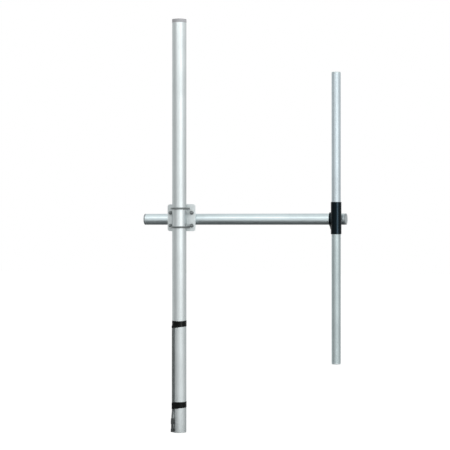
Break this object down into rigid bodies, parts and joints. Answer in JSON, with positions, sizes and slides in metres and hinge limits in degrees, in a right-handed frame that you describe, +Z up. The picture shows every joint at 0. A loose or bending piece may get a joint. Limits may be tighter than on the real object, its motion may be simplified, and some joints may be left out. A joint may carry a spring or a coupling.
{
  "type": "base station antenna",
  "caption": "Vertical VHF dipole on a horizontal boom, clamped by U-bolts and a cross plate to a round mast section, with its feeder taped down the mast.",
  "frame": {"origin": "centre of the mast's open lower end, on the mast's axis", "axes": "+Z up the mast, +X along the boom towards the dipole, -Y is the front, where mast and dipole stand before the boom"},
  "size_m": [0.66, 0.0972, 1.313],
  "materials": {
    "aluminium_tube": "satin drawn tube",
    "grey_cap": "moulded, fine matt",
    "plate_metal": "mill finish plate",
    "zinc_hardware": "zinc plated",
    "black_housing": "moulded, satin",
    "brass_terminal": "plain",
    "cable_jacket": "extruded jacket",
    "black_rubber": "moulded rubber",
    "nickel_plug": "nickel plated",
    "black_tape": "vinyl tape"
  },
  "bodies": {
    "root": {"mast_tube": "aluminium_tube", "boom_tube": "aluminium_tube", "upper_element": "aluminium_tube", "lower_element": "aluminium_tube", "mast_cap": "grey_cap", "boom_tail_cap": "grey_cap", "boom_nose_cap": "grey_cap", "upper_element_cap": "grey_cap", "lower_element_cap": "grey_cap", "cross_plate": "plate_metal", "upper_mast_u_bolt": "zinc_hardware", "lower_mast_u_bolt": "zinc_hardware", "inner_boom_u_bolt": "zinc_hardware", "outer_boom_u_bolt": "zinc_hardware", "mast_clamp_washers": "zinc_hardware", "mast_clamp_split_washers": "zinc_hardware", "mast_clamp_nuts": "zinc_hardware", "boom_clamp_washers": "zinc_hardware", "boom_clamp_split_washers": "zinc_hardware", "boom_clamp_nuts": "zinc_hardware", "saddle_screws": "zinc_hardware", "element_screws": "zinc_hardware", "element_nuts": "zinc_hardware", "feed_housing": "black_housing", "saddle_cap": "black_housing", "saddle_inserts": "brass_terminal", "upper_feed_tag": "brass_terminal", "lower_feed_tag": "brass_terminal", "core_lead": "brass_terminal", "braid_lead": "brass_terminal", "plug_pin": "brass_terminal", "feeder_cable": "cable_jacket", "cable_grommet": "black_rubber", "plug_boot": "black_rubber", "plug_body": "nickel_plug", "plug_nut": "nickel_plug", "upper_tape": "black_tape", "lower_tape": "black_tape"}
  },
  "joints": []
}
